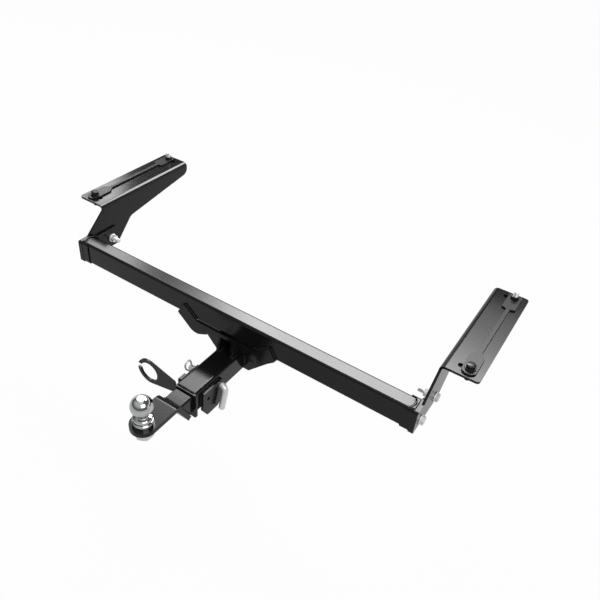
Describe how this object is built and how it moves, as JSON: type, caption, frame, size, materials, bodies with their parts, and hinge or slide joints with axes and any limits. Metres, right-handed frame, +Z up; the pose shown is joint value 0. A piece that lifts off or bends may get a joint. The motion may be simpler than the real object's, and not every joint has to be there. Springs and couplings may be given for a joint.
{
  "type": "trailer hitch",
  "caption": "Square-beam trailer hitch with bolted side brackets, a square receiver, a pinned ball mount and a split ring for the trailer socket.",
  "frame": {"origin": "centre of the coupling ball", "axes": "+X along the cross beam to the right as seen from behind the vehicle, +Y towards the vehicle's front, +Z up"},
  "size_m": [1.1392, 0.741, 0.3054],
  "materials": {
    "black_paint": "gloss",
    "zinc_plate": "satin",
    "black_hardware": "satin",
    "chrome": "polished"
  },
  "bodies": {
    "hitch": {"ball_plate": "black_paint", "tongue_bar": "black_paint", "receiver_tube": "black_paint", "right_receiver_lug": "black_paint", "left_receiver_lug": "black_paint", "socket_plate": "black_paint", "rear_plate": "black_paint", "front_plate": "black_paint", "right_riser_plate": "black_paint", "left_riser_plate": "black_paint", "cross_beam": "black_paint", "right_end_cap": "black_paint", "left_end_cap": "black_paint", "right_end_plate": "black_paint", "left_end_plate": "black_paint", "right_side_bracket": "black_paint", "left_side_bracket": "black_paint", "right_insert_plate": "black_paint", "left_insert_plate": "black_paint", "ball_washer": "zinc_plate", "ball_nut": "zinc_plate", "side_bolts": "zinc_plate", "side_washers": "zinc_plate", "side_nuts": "zinc_plate", "flange_studs": "zinc_plate", "flange_nuts": "zinc_plate", "stud_nuts": "black_hardware", "flange_bolts": "black_hardware", "flange_washers": "black_hardware", "coupling_ball": "chrome"},
    "pin": {"hitch_pin": "zinc_plate"},
    "clip": {"pin_clip": "zinc_plate"}
  },
  "joints": [
    {"name": "pin_slide", "type": "slide", "parent": "hitch", "child": "pin", "axis": [1, 0, 0], "range_m": [0, 0.0095]},
    {"name": "clip_pull", "type": "slide", "parent": "pin", "child": "clip", "axis": [0, -0.247, 0.969], "range_m": [0, 0.045]}
  ]
}
